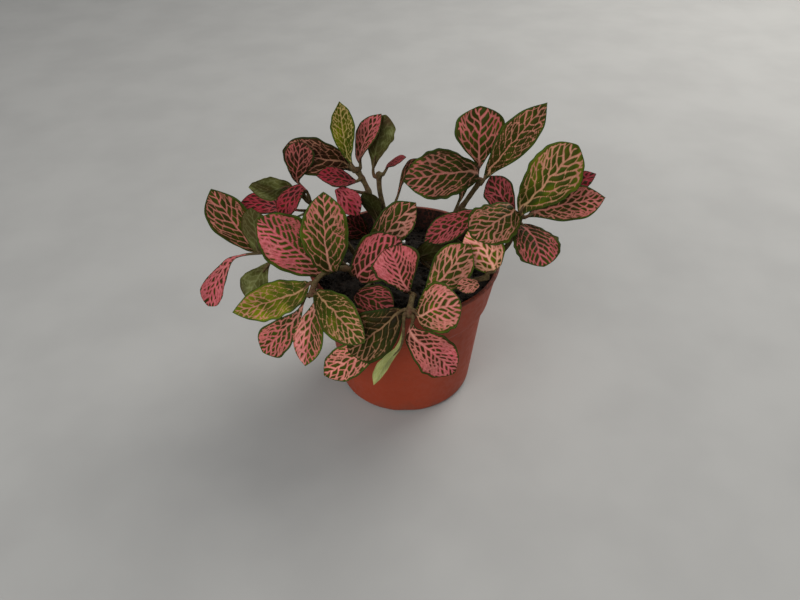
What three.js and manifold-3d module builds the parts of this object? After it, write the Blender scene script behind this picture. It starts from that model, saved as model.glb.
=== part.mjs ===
// Potted nerve plant: a plastic nursery pot, its soil, the stems and the leaves.
// Millimetres, +Z up. The origin is the middle of the pot's underside, on the table.
import * as THREE from 'three';
import Module from 'manifold-3d';
import { mergeVertices } from 'three/addons/utils/BufferGeometryUtils.js';

// ---- driving dimensions ------------------------------------------------------
const gap = 0.3; // clearance left between neighbouring pieces

const pot = {
  height: 72,
  baseRadius: 33.2,
  shoulderHeight: 49, // top of the plain body, under the collar
  shoulderRadius: 38.9,
  collarHeight: 52.5, // where the collar has its full size
  collarRadius: 41.5,
  collarEdge: 0.6, // rounding of the collar's lower edge
  rimRadius: 45.4,
  lip: 0.5, // how far the top edge stands out
  lipHeight: 1.4,
  lipEdge: 0.4,
  wall: 1.2,
  floor: 1.6,
  baseRound: 2.5,
  insideRound: 2, // rounding between floor and wall, inside
  segments: 60,
};

const drain = { count: 6, circle: 22, radius: 4 }; // holes through the floor
const notch = { count: 6, width: 13, height: 1.8, depth: 2.6 }; // air slots in the foot

const soilTop = 60; // at the wall
const soilCrown = 2.5; // how much higher the middle lies
const soilClear = gap + 0.1; // between the soil and the wall
const soilSegments = 40;

const stemSides = 8;
const stemSteps = 14;
const stemRadius = 1.25;
const stemFoot = 6; // length of stem below the soil's surface
const socketRadius = stemRadius + 2.5 * gap; // hole in the soil a stem stands in

const leafSides = 8; // points around a leaf's section
const petioleRadius = 0.85;
const petioleRows = [0, 0.35, 0.7];
const bladeRows = [0, 0.05, 0.14, 0.28, 0.44, 0.6, 0.75, 0.88, 0.96];
const bladeThickness = 0.5; // lamina
const midribDepth = 0.5; // how far the midrib stands out below
const crown = 0.12; // arch of each half of the blade, in half widths

// Blade outlines: how fast the width grows from the base and from the tip.
// Lower numbers make a rounder end, and the widest place lies nearer the lower one.
const outlines = {
  oval: { rise: 0.6, fall: 0.7 },
  round: { rise: 0.52, fall: 0.52 },
  pointed: { rise: 0.72, fall: 0.82 },
  wideBase: { rise: 0.5, fall: 0.82 },
  wideTip: { rise: 0.78, fall: 0.55 },
};

const colours = {
  pot: 0x8f4226,
  soil: 0x1d1410,
  stem: 0x5b5a32,
  leaf: 0x54512f,
};

// ---- layout ------------------------------------------------------------------
// Each shoot is one stem through a few points, with its leaves. A leaf's row says:
// where on the stem it grows (0 foot, 1 top), the blade's base, the blade's tip, its width,
// the way its upper side faces, its arch (rise over length), the fold of its halves (degrees)
// and its outline, where that isn't oval.
// Leaves that share a stem's top end grow out of it at different sides.
const shoots = {
  back_left: {
    path: [[-9, 2, 62], [-12, 10, 76], [-16, 19, 96], [-22, 23, 107]],
    leaves: [
      [0.97, [-25, 22, 113], [-27, 19, 141], 11, [0.2, -1, 0.3], -0.04, 20, 'pointed'],
      [0.97, [-20, 26, 110], [-9, 30, 130], 12, [-0.8, -0.6, 0.2], 0.04, 25],
      [0.97, [-27, 26, 108], [-55, 23, 116], 17, [0, -0.8, 0.5], 0.18, 12, 'round'],
      [0.9, [-23, 17, 103], [-39, 11, 109], 11, [0, -0.5, 0.9], 0.08, 15, 'pointed'],
      [0.78, [-30, 13, 101], [-20, 4, 92], 11, [0.1, -0.8, 0.6], 0.08, 20, 'pointed'],
      [0.35, [-18, 8, 80], [-28, 3, 91], 13, [0, -0.8, 0.5], 0.08, 12],
      [0.2, [-15, -4, 81], [6, 3, 99], 17, [-0.1, -0.8, 0.6], 0.06, 12],
    ],
  },
  back: {
    path: [[-5, 8, 62], [-7, 14, 78], [-11, 23, 95], [-11, 26, 103]],
    leaves: [
      [0.95, [-13, 27, 107], [-7, 31, 129], 13, [0.4, 1, 0.2], -0.04, 12, 'wideTip'],
      [0.97, [-7, 26, 106], [2, 24, 111], 7, [0, -0.2, 1], 0.05, 10],
      [0.6, [0, 28, 97], [9, 30, 107], 8, [-0.6, -0.5, 0.5], 0.1, 15],
      [0.3, [-12, 12, 87], [-18, 12, 100], 10, [0.3, 1, 0.2], 0.05, 12],
    ],
  },
  left_back: {
    path: [[-20, 5, 62], [-31, 9, 80], [-41, 12, 92], [-48, 13, 100]],
    leaves: [
      [0.8, [-58, 17, 90], [-77, 15, 93], 13, [0, -0.4, 0.9], 0.08, 12],
      [0.97, [-53, 11, 105], [-70, 9, 105], 16, [0.1, 0.9, 0.4], -0.1, 10],
      [0.9, [-46, 8, 105], [-57, 5, 92], 11, [-0.5, -0.8, 0.3], 0.1, 10],
      [0.97, [-49, 14, 106], [-45, 18, 123], 13, [0, -0.9, 0.4], 0.12, 10, 'wideTip'],
      [0.5, [-38, 22, 82], [-52, 34, 74], 17, [-0.3, 0.3, 1], 0.1, 12],
    ],
  },
  left: {
    path: [[-24, -2, 62], [-34, -4, 75], [-50, -3, 79], [-64, 1, 76]],
    leaves: [
      [0.97, [-73, 10, 71], [-88, 12, 103], 22, [-0.3, -0.8, 0.5], 0.06, 10],
      [0.9, [-68, -2, 78], [-69, 3, 98], 14, [0.1, 1, 0.3], 0.04, 10],
      [0.97, [-82, -1, 72], [-95, -8, 50], 11, [-0.3, -0.9, 0.3], 0.12, 20, 'wideTip'],
      [0.9, [-64, -7, 72], [-75, -11, 57], 13, [0.1, 1, -0.2], 0.05, 10, 'wideTip'],
    ],
  },
  front_left: {
    path: [[-15, -9, 62], [-22, -13, 73], [-32, -18, 78], [-39, -23, 76], [-42, -27, 69]],
    leaves: [
      [0.55, [-36, -13, 75], [-65, -6, 98], 25, [0.1, -0.75, 0.6], 0.06, 12],
      [0.65, [-33, -22, 80], [-34, -10, 113], 21, [0, -0.95, 0.3], 0.05, 12],
      [0.88, [-46, -24, 70.5], [-77, -31, 64.6], 18, [0, -0.6, 0.8], -0.1, 12, 'wideBase'],
      [0.93, [-38, -32, 74], [-17, -58, 69], 18, [-0.4, -0.7, 0.6], 0.06, 12],
      [0.99, [-48, -29, 62], [-66, -34, 43], 15, [-0.1, -0.8, 0.5], 0.08, 12, 'wideTip'],
      [0.97, [-41, -33, 63], [-45, -46, 45], 14, [0, -0.9, 0.4], 0.08, 12, 'wideBase'],
      [0.35, [-21, -19.5, 74.5], [-1, -18, 94], 22, [-0.2, -0.8, 0.6], 0.06, 12],
      [0.22, [-21, -27, 69.7], [-5, -36, 67.5], 17, [0.1, -0.5, 0.9], 0.08, 12],
    ],
  },
  front: {
    path: [[4, -20, 62], [4, -30, 71], [3, -42, 80], [1, -50, 75]],
    leaves: [
      [0.92, [6, -51, 77], [22, -58, 89], 21, [-0.1, -0.7, 0.7], 0.08, 10, 'round'],
      [0.97, [2, -56, 71], [21, -57, 50], 18, [0.2, -0.9, 0.4], 0.06, 10],
      [0.93, [-4, -50, 77], [-25, -50, 57], 21, [0.2, -0.6, 0.75], 0.06, 15],
      [0.97, [-3, -60.5, 68], [-14, -63.5, 50], 7, [-0.4, 0.9, 0.1], 0.06, 15],
      [0.92, [-10, -50, 62], [-37, -47, 40], 15, [-0.1, -0.8, 0.6], 0.06, 10, 'round'],
      [0.5, [1, -35, 79], [-6, -27, 96], 20, [0, -0.85, 0.5], 0.06, 12, 'wideTip'],
    ],
  },
  right_front: {
    path: [[16, -14, 62], [22, -21, 70], [30, -25, 75], [38, -23, 76]],
    leaves: [
      [0.35, [11, -31, 75], [29, -21, 92], 19, [-0.2, -0.8, 0.6], 0.06, 12, 'pointed'],
      [0.97, [40, -22, 79], [28, -15, 95], 19, [0, -0.9, 0.4], 0.06, 12],
      [0.75, [31, -34, 81], [22, -38, 81], 8, [0, -0.5, 0.8], 0.06, 12],
      [0.45, [7, -9, 78], [26, -12, 87], 15, [0, 1, -0.2], -0.05, 12],
    ],
  },
  right: {
    path: [[24, -4, 62], [34, -7, 71], [46, -8, 80], [53, -4, 97]],
    leaves: [
      [0.97, [54, -5, 103], [74, -3, 129], 23, [0.05, -0.85, 0.5], 0.05, 12, 'round'],
      [0.97, [59, -4, 97], [91, 1, 101], 16, [0.1, -0.8, 0.6], 0.06, 15, 'pointed'],
      [0.92, [54, -10, 93], [60, -29, 85], 22, [0.2, -0.6, 0.8], 0.08, 10, 'round'],
      [0.93, [49, -7, 101], [29, -22, 96], 21, [-0.1, -0.6, 0.8], 0.08, 10, 'round'],
      [0.94, [58, 3, 97], [89, 14, 106], 11, [0, -0.7, 0.7], 0.08, 15],
      [0.9, [49, 3, 95], [40, 12, 107], 14, [-0.2, -0.9, 0.3], 0.06, 12],
    ],
  },
  right_back: {
    path: [[12, 6, 62], [21, 10, 80], [31, 10, 98], [36, 8, 108]],
    leaves: [
      [0.97, [33, 5, 113], [0, 0, 112], 22, [0, -0.75, 0.65], 0.08, 10],
      [0.97, [35, 11, 115], [34, 16, 139], 21, [0, -1, 0.3], 0.06, 15, 'wideTip'],
      [0.97, [39, 5, 114], [60, 2, 146], 15, [-0.2, -1, 0.2], 0.05, 15, 'pointed'],
      [0.7, [33, -6, 97], [9, -12, 88], 13, [-0.1, -0.7, 0.7], 0.08, 15],
      [0.6, [28, 20, 97], [14, 38, 92], 17, [0, 0.2, 1], 0.1, 12],
    ],
  },
};

// ---- helpers -----------------------------------------------------------------
const wasm = await Module();
wasm.setup();

const vec = (p) => new THREE.Vector3(...p);

function solidOf(geometry) {
  const bare = new THREE.BufferGeometry();
  bare.setAttribute('position', geometry.getAttribute('position'));
  bare.setIndex(geometry.index);
  const merged = mergeVertices(bare, 1e-3);
  return new wasm.Manifold(new wasm.Mesh({
    numProp: 3,
    vertProperties: new Float32Array(merged.getAttribute('position').array),
    triVerts: new Uint32Array(merged.index.array),
  }));
}

function geometryOf(solid) {
  const mesh = solid.getMesh();
  const geometry = new THREE.BufferGeometry();
  geometry.setAttribute('position', new THREE.BufferAttribute(mesh.vertProperties, 3));
  geometry.setIndex(new THREE.BufferAttribute(mesh.triVerts, 1));
  return geometry;
}

function meshOf(name, geometry, colour, roughness) {
  const flat = geometry.index ? geometry.toNonIndexed() : geometry;
  flat.computeVertexNormals();
  const material = new THREE.MeshStandardMaterial({ color: colour, roughness, metalness: 0 });
  const mesh = new THREE.Mesh(flat, material);
  mesh.name = name;
  return mesh;
}

// A solid of revolution about Z from [radius, height] pairs that start and end on the axis.
function turned(profile, segments) {
  const points = profile.map(([radius, height]) => new THREE.Vector2(radius, height));
  return new THREE.LatheGeometry(points, segments).rotateX(Math.PI / 2);
}

// An upright cylinder from one height to another, standing at x, y.
function post(radius, low, high, x, y, sides = 24) {
  const geometry = new THREE.CylinderGeometry(radius, radius, high - low, sides);
  return geometry.rotateX(Math.PI / 2).translate(x, y, (low + high) / 2);
}

// ---- pot ---------------------------------------------------------------------
// Radius of the outer side of the pot's body, or of its collar, at a height.
function bodyRadius(height) {
  const share = height / pot.shoulderHeight;
  return pot.baseRadius + (pot.shoulderRadius - pot.baseRadius) * share;
}

function collarRadius(height) {
  const share = (height - pot.collarHeight) / (pot.height - pot.collarHeight);
  return pot.collarRadius + (pot.rimRadius - pot.lip - pot.collarRadius) * share;
}

function makePot() {
  const corner = [0, 0.25, 0.5, 0.75, 1].map((turn) => {
    const angle = turn * Math.PI / 2;
    const radius = pot.baseRadius - pot.baseRound * (1 - Math.sin(angle));
    return [radius, pot.baseRound * (1 - Math.cos(angle))];
  });
  const outside = [
    [0, 0],
    ...corner,
    [pot.shoulderRadius, pot.shoulderHeight],
    [pot.collarRadius - pot.collarEdge, pot.collarHeight - 1.6],
    [pot.collarRadius, pot.collarHeight],
    [collarRadius(pot.height - pot.lipHeight - pot.lip), pot.height - pot.lipHeight - pot.lip],
    [pot.rimRadius, pot.height - pot.lipHeight],
    [pot.rimRadius, pot.height - pot.lipEdge],
    [pot.rimRadius - pot.lipEdge, pot.height],
  ];
  const aboveFloor = pot.floor + pot.insideRound;
  const inside = [
    [collarRadius(pot.height) - pot.wall, pot.height],
    [pot.collarRadius - pot.wall, pot.collarHeight + pot.wall / 3],
    [pot.shoulderRadius - pot.wall, pot.shoulderHeight + pot.wall / 3],
    [bodyRadius(aboveFloor) - pot.wall - 0.3, aboveFloor],
    [bodyRadius(pot.floor) - pot.wall - pot.insideRound - 0.2, pot.floor],
    [0, pot.floor],
  ];
  let solid = solidOf(turned([...outside, ...inside], pot.segments));
  for (let i = 0; i < drain.count; i += 1) {
    const angle = (i + 0.5) * 2 * Math.PI / drain.count;
    const x = drain.circle * Math.cos(angle);
    const y = drain.circle * Math.sin(angle);
    solid = solid.subtract(solidOf(post(drain.radius, -1, pot.floor + 1, x, y)));
  }
  for (let i = 0; i < notch.count; i += 1) {
    const slot = new THREE.CylinderGeometry(notch.height, notch.height, 2 * notch.depth, 16);
    slot.scale(notch.width / 2 / notch.height, 1, 1);
    slot.translate(0, -pot.baseRadius, 0);
    slot.rotateZ(i * 2 * Math.PI / notch.count);
    solid = solid.subtract(solidOf(slot));
  }
  return meshOf('pot', geometryOf(solid), colours.pot, 0.6);
}

// ---- soil --------------------------------------------------------------------
function makeSoil(stemFeet) {
  const inward = pot.wall + soilClear;
  const aboveFloor = pot.floor + pot.insideRound;
  const edge = collarRadius(soilTop) - inward;
  const profile = [
    [0, pot.floor + gap],
    [bodyRadius(pot.floor) - inward - pot.insideRound - 0.4, pot.floor + gap],
    [bodyRadius(aboveFloor) - inward - 0.5, aboveFloor + soilClear],
    [pot.shoulderRadius - inward, pot.shoulderHeight + 2 * gap],
    [pot.collarRadius - inward, pot.collarHeight + 2 * soilClear],
    [edge, soilTop],
    [edge * 0.72, soilTop + soilCrown * 0.45],
    [edge * 0.36, soilTop + soilCrown * 0.9],
    [0, soilTop + soilCrown],
  ];
  let solid = solidOf(turned(profile, soilSegments));
  for (const [x, y] of stemFeet) {
    const socket = post(socketRadius, soilTop - stemFoot - gap, pot.height, x, y, 16);
    solid = solid.subtract(solidOf(socket));
  }
  return meshOf('soil', geometryOf(solid), colours.soil, 1);
}

// ---- stems -------------------------------------------------------------------
function stemCurve(path) {
  const [footX, footY] = path[0];
  const foot = [footX, footY, soilTop - stemFoot];
  return new THREE.CatmullRomCurve3([foot, ...path].map(vec), false, 'centripetal');
}

function makeStem(name, path) {
  const section = new THREE.Shape();
  for (let i = 0; i < stemSides; i += 1) {
    const angle = i * 2 * Math.PI / stemSides;
    const x = stemRadius * Math.cos(angle);
    const y = stemRadius * Math.sin(angle);
    if (i === 0) {
      section.moveTo(x, y);
    } else {
      section.lineTo(x, y);
    }
  }
  const geometry = new THREE.ExtrudeGeometry(section, {
    steps: stemSteps,
    bevelEnabled: false,
    extrudePath: stemCurve(path),
  });
  return meshOf(name, geometryOf(solidOf(geometry)), colours.stem, 0.75);
}

// ---- leaves ------------------------------------------------------------------
// Half width of a blade at a place along it (0 base, 1 tip), for a width of 2.
function outline({ rise, fall }, place) {
  const widest = rise / (rise + fall);
  const peak = widest ** rise * (1 - widest) ** fall;
  return place ** rise * (1 - place) ** fall / peak;
}

// The eight points of a leaf's section, right edge first, then over the top and back below.
function bladeSection(halfWidth, foldAngle) {
  const lift = Math.tan(foldAngle * Math.PI / 180);
  const height = (share) => halfWidth * (lift * share - crown * share * share);
  const half = 0.55;
  const taper = Math.min(1, halfWidth / 3);
  const thick = bladeThickness * taper;
  const rib = thick + midribDepth * taper;
  return [
    [halfWidth, height(1)],
    [half * halfWidth, height(half)],
    [0, 0],
    [-half * halfWidth, height(half)],
    [-halfWidth, height(1)],
    [-half * halfWidth, height(half) - thick],
    [0, -rib],
    [half * halfWidth, height(half) - thick],
  ];
}

function petioleSection() {
  return Array.from({ length: leafSides }, (_, i) => {
    const angle = i * 2 * Math.PI / leafSides;
    return [petioleRadius * Math.cos(angle), petioleRadius * Math.sin(angle)];
  });
}

function makeLeaf(name, stem, [at, base, tip, width, faces, arch, fold, shape = 'oval']) {
  const baseAt = vec(base);
  const tipAt = vec(tip);
  const chord = tipAt.clone().sub(baseAt);
  const length = chord.length();
  const along = chord.clone().normalize();
  const up = vec(faces);
  up.addScaledVector(along, -up.dot(along)).normalize();

  const rise = up.clone().multiplyScalar(arch * length * 4 / 3);
  const blade = new THREE.CubicBezierCurve3(
    baseAt,
    baseAt.clone().addScaledVector(chord, 1 / 3).add(rise),
    baseAt.clone().addScaledVector(chord, 2 / 3).add(rise),
    tipAt,
  );

  // The petiole leaves the stem's skin square to the stem and runs into the midrib.
  const stemPoint = stem.getPointAt(at);
  const stemAhead = stem.getTangentAt(at);
  const outward = baseAt.clone().sub(stemPoint);
  const reach = outward.length();
  outward.addScaledVector(stemAhead, -outward.dot(stemAhead)).normalize();
  const start = stemPoint.clone().addScaledVector(outward, stemRadius + gap);
  const inward = blade.getTangent(0);
  const petiole = new THREE.CubicBezierCurve3(
    start,
    start.clone().addScaledVector(outward, Math.min(reach * 0.3, 3)),
    baseAt.clone().addScaledVector(inward, -Math.min(reach * 0.35, 5)),
    baseAt,
  );

  const rows = [];
  const addRow = (curve, place, section) => {
    const middle = curve.getPoint(place);
    const ahead = curve.getTangent(place);
    const normal = up.clone().addScaledVector(ahead, -up.dot(ahead)).normalize();
    const side = ahead.clone().cross(normal);
    rows.push(section.map(([x, z]) => middle.clone()
      .addScaledVector(side, x).addScaledVector(normal, z)));
  };
  for (const place of petioleRows) {
    addRow(petiole, place, petioleSection());
  }
  for (const place of bladeRows) {
    const section = place === 0
      ? petioleSection()
      : bladeSection(width / 2 * outline(outlines[shape], place), fold);
    addRow(blade, place, section);
  }

  const points = rows.flat();
  const first = points.push(petiole.getPoint(0)) - 1;
  const last = points.push(tipAt) - 1;
  const index = [];
  rows.forEach((row, r) => {
    for (let i = 0; i < leafSides; i += 1) {
      const a = r * leafSides + i;
      const b = r * leafSides + (i + 1) % leafSides;
      if (r === 0) {
        index.push(first, a, b);
      }
      if (r === rows.length - 1) {
        index.push(a, last, b);
      } else {
        index.push(a, a + leafSides, b, b, a + leafSides, b + leafSides);
      }
    }
  });
  const geometry = new THREE.BufferGeometry().setFromPoints(points);
  geometry.setIndex(index);
  return meshOf(name, geometry, colours.leaf, 0.6);
}

// ---- assembly ----------------------------------------------------------------
const group = new THREE.Group();
group.add(makePot());
group.add(makeSoil(Object.values(shoots).map(({ path }) => path[0])));
for (const [place, { path, leaves }] of Object.entries(shoots)) {
  group.add(makeStem(`stem_${place}`, path));
  const curve = stemCurve(path);
  leaves.forEach((leaf, i) => group.add(makeLeaf(`leaf_${place}_${i + 1}`, curve, leaf)));
}

export default group;
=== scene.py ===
"""The looks of a potted nerve plant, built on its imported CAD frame. Metres, +Z up, origin under the pot."""
import math
from dataclasses import dataclass

import bmesh
import bpy
import numpy as np
from mathutils import Euler, Matrix, Vector


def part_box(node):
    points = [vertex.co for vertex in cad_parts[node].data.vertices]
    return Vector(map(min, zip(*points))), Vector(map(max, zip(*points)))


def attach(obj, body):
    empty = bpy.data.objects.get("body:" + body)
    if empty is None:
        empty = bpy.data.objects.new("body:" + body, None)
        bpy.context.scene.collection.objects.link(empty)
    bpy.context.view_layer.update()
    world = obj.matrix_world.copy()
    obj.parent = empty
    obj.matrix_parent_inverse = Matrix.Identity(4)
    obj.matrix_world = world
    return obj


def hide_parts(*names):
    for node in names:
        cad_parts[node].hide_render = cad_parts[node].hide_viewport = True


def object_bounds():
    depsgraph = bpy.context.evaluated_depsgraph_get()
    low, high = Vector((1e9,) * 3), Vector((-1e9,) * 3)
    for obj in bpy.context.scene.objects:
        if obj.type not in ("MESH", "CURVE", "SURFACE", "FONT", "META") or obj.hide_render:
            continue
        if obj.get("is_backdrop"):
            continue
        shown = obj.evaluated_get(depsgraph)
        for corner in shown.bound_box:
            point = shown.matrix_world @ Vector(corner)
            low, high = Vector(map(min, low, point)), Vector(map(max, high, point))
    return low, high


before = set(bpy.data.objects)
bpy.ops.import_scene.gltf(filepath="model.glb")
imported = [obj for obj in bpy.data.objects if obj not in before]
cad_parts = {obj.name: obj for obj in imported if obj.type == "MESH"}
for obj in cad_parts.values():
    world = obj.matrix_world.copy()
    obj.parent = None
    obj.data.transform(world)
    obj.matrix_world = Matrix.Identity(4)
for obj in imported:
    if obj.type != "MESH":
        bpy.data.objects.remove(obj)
cad_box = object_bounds()
MM = 0.001

# ---- camera ----
EYE = (-2.15 * MM, -279.6 * MM, 267.6 * MM)
LOOK_DOWN = math.radians(38.5)
ROLL = math.radians(-1.07)
LENS = 32.4  # on a 36 mm wide sensor


def make_camera():
    data = bpy.data.cameras.new("camera")
    data.lens = LENS
    data.clip_start = 0.01
    camera = bpy.data.objects.new("camera", data)
    turn = Euler((math.pi / 2 - LOOK_DOWN, 0, 0)).to_matrix() @ Matrix.Rotation(ROLL, 3, "Z")
    camera.matrix_world = Matrix.Translation(EYE) @ turn.to_4x4()
    bpy.context.scene.collection.objects.link(camera)
    bpy.context.scene.camera = camera


make_camera()
bpy.context.scene.view_settings.view_transform = "Standard"


# ---- small tools ----
def unit(v):
    return v / np.linalg.norm(v, axis=-1, keepdims=True)


def smooth(low, high, x):
    """0 below low, 1 above high, and a smooth step between them."""
    share = np.clip((x - low) / (high - low), 0, 1)
    return share * share * (3 - 2 * share)


def ripples(rng, wavelength, count=9):
    """A smooth random function of 2-D or 3-D points, about -1 to 1, from sine waves."""
    ways = unit(rng.normal(size=(count, 3)))
    rates = 2 * np.pi / wavelength * rng.uniform(0.6, 1.5, count)
    phases = rng.uniform(0, 2 * np.pi, count)

    def value(points):
        waves = np.sin(points @ (ways[:, : points.shape[-1]] * rates[:, None]).T + phases)
        return waves.sum(-1) / math.sqrt(count)

    return value


def smoothed(path, passes):
    """A path with softer bends and the same ends."""
    path = path.copy()
    for _ in range(passes):
        path[1:-1] = (path[:-2] + 2 * path[1:-1] + path[2:]) / 4
    return path


def lengths_along(path):
    steps = np.linalg.norm(np.diff(path, axis=0), axis=1)
    return np.concatenate([[0], np.cumsum(steps)])


def between(at, along, rows):
    """A path's points at some places, where along has the place of each of its rows."""
    return np.stack([np.interp(at, along, rows[:, axis]) for axis in range(3)], -1)


def round_angles(count):
    return np.linspace(0, 2 * np.pi, count, endpoint=False)


def mesh_object(name, points, faces):
    mesh = bpy.data.meshes.new(name)
    mesh.from_pydata(np.asarray(points).tolist(), [], faces)
    made = bpy.data.objects.new(name, mesh)
    bpy.context.scene.collection.objects.link(made)
    return made


def make_piece(name, points, faces, materials, slots=None, attributes=None, uv=None):
    """A smooth piece. slots has a number for each face, uv a pair for each corner."""
    piece = mesh_object(name, points, faces)
    mesh = piece.data
    for material in materials:
        mesh.materials.append(material)
    if slots is not None:
        mesh.polygons.foreach_set("material_index", np.asarray(slots, np.int32))
    mesh.polygons.foreach_set("use_smooth", [True] * len(mesh.polygons))
    for key, values in (attributes or {}).items():
        made = mesh.attributes.new(key, "FLOAT", "POINT")
        made.data.foreach_set("value", np.asarray(values, np.float32))
    if uv is not None:
        layer = mesh.uv_layers.new(name="OFBake")
        layer.uv.foreach_set("vector", np.asarray(uv, np.float32).ravel())
    mesh.validate()
    mesh.update()
    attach(piece, "root")
    return piece


def grid_faces(rows, columns, closed=False, flip=False):
    """Quads over rows of points. closed joins the last column to the first."""
    faces = []
    for row in range(0, (rows - 1) * columns, columns):
        for column in range(columns if closed else columns - 1):
            after = (column + 1) % columns
            quad = [row + column, row + after, row + columns + after, row + columns + column]
            faces.append(quad[::-1] if flip else quad)
    return faces


def capped_faces(rows, columns):
    """Faces over rings of points and both ends."""
    last = (rows - 1) * columns
    ends = [[*range(columns)], [*range(last, last + columns)][::-1]]
    return grid_faces(rows, columns, closed=True, flip=True) + ends


# ---- materials ----
class Recipe:
    """A material with short calls for its nodes. Inputs are numbers, colours or sockets."""

    def __init__(self, name):
        self.material = bpy.data.materials.new(name)
        self.material.use_nodes = True
        self.tree = self.material.node_tree
        self.shader = self.tree.nodes["Principled BSDF"]
        self.place = self.node("ShaderNodeTexCoord").outputs["Object"]

    def node(self, kind, inputs=(), **settings):
        made = self.tree.nodes.new(kind)
        for key, value in settings.items():
            setattr(made, key, value)
        for key, value in dict(inputs).items():
            self.fill(made.inputs[key], value)
        return made

    def fill(self, socket, value):
        if isinstance(value, bpy.types.NodeSocket):
            self.tree.links.new(value, socket)
        elif socket.type == "RGBA":
            socket.default_value = (*value, 1)
        else:
            socket.default_value = value

    def attribute(self, name):
        return self.node("ShaderNodeAttribute", attribute_name=name).outputs["Fac"]

    def math(self, operation, *values):
        return self.node("ShaderNodeMath", enumerate(values), operation=operation).outputs[0]

    def ramp(self, value, low, high, to_low=0.0, to_high=1.0):
        """A smooth step from to_low to to_high as value goes from low to high."""
        inputs = {"Value": value, "From Min": low, "From Max": high, "To Min": to_low, "To Max": to_high}
        return self.node("ShaderNodeMapRange", inputs, interpolation_type="SMOOTHSTEP").outputs[0]

    def mix(self, share, first, second, blend="MIX"):
        made = self.node("ShaderNodeMix", data_type="RGBA", blend_type=blend)
        for index, value in ((0, share), (6, first), (7, second)):
            self.fill(made.inputs[index], value)
        return made.outputs[2]

    def colours(self, value, stops):
        """A colour ramp over -1 to 1."""
        share = self.math("MULTIPLY_ADD", value, 0.5, 0.5)
        made = self.node("ShaderNodeValToRGB", {0: share})
        elements = made.color_ramp.elements
        while len(elements) < len(stops):
            elements.new(0.5)
        for element, (at, colour) in zip(elements, stops):
            element.position = at / 2 + 0.5
            element.color = (*colour, 1)
        return made.outputs[0]

    def noise(self, size, detail=2.0, roughness=0.5, stretch=None):
        """Noise whose features are about size metres across."""
        place = self.place
        if stretch:
            place = self.node("ShaderNodeMapping", {"Vector": place, "Scale": stretch}).outputs[0]
        inputs = {"Vector": place, "Scale": 1 / size, "Detail": detail, "Roughness": roughness}
        return self.node("ShaderNodeTexNoise", inputs).outputs[0]

    def grains(self, size):
        """Grows from 0 in the middle of each grain."""
        inputs = {"Vector": self.place, "Scale": 1 / size}
        return self.node("ShaderNodeTexVoronoi", inputs).outputs["Distance"]

    def bump(self, height, distance, strength, under=None):
        inputs = {"Height": height, "Distance": distance, "Strength": strength}
        if under is not None:
            inputs["Normal"] = under
        return self.node("ShaderNodeBump", inputs).outputs[0]

    def stained(self, colour, stain, value, low, high, most=1.0):
        """A colour with up to most of a stain mixed in as value goes from low to high."""
        return self.mix(self.ramp(value, low, high, 0.0, most), colour, stain)

    def shaded(self, colour, value):
        grey = self.node("ShaderNodeCombineXYZ", {0: value, 1: value, 2: value}).outputs[0]
        return self.mix(1.0, colour, grey, "MULTIPLY")

    def finish(self, colour, roughness, normal, specular=0.5):
        for key, value in zip(("Base Color", "Roughness", "Normal", "Specular IOR Level"),
                              (colour, roughness, normal, specular)):
            self.fill(self.shader.inputs[key], value)
        return self.material


# Colours of a leaf's upper side. These four run over its value green: -1 maroon to 1 yellow green.
ISLAND = ((-1, (0.042, 0.009, 0.005)), (-0.4, (0.036, 0.021, 0.004)), (0, (0.03, 0.037, 0.003)),
          (0.5, (0.04, 0.064, 0.003)), (1, (0.14, 0.165, 0.004)))
ISLAND_RIM = ((-1, (0.11, 0.013, 0.012)), (0, (0.095, 0.05, 0.01)), (0.5, (0.11, 0.085, 0.01)),
              (1, (0.25, 0.21, 0.012)))
PATCH = ((-1, (0.055, 0.018, 0.009)), (0, (0.06, 0.045, 0.007)), (1, (0.14, 0.12, 0.01)))
BORDER = ((-1, (0.034, 0.028, 0.008)), (0, (0.042, 0.07, 0.009)), (1, (0.085, 0.125, 0.01)))
EDGE = (0.012, 0.018, 0.005)
# These two run over its value tint: -1 crimson, 0 salmon and 1 pale peach.
VEIN = ((-1, (0.29, 0.02, 0.032)), (-0.4, (0.44, 0.088, 0.09)), (0.1, (0.47, 0.19, 0.125)),
        (0.5, (0.43, 0.24, 0.11)), (1, (0.42, 0.34, 0.11)))
VEIN_CORE = ((-1, (0.42, 0.042, 0.065)), (-0.4, (0.68, 0.17, 0.19)), (0.1, (0.75, 0.35, 0.26)),
             (0.5, (0.66, 0.4, 0.22)), (1, (0.58, 0.49, 0.2)))
VEIN_FLUSH = (0.45, 0.1, 0.08)
# Colours of its underside, over its value green.
UNDERSIDE = ((-1, (0.085, 0.022, 0.014)), (-0.3, (0.07, 0.045, 0.013)), (0.1, (0.065, 0.066, 0.012)),
             (1, (0.34, 0.36, 0.12)))
UNDER_PATCH = ((-1, (0.05, 0.025, 0.01)), (0.1, (0.05, 0.04, 0.009)), (1, (0.25, 0.27, 0.08)))
UNDER_VEIN = ((-1, (0.18, 0.06, 0.04)), (0.1, (0.18, 0.19, 0.07)), (1, (0.48, 0.5, 0.25)))


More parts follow.
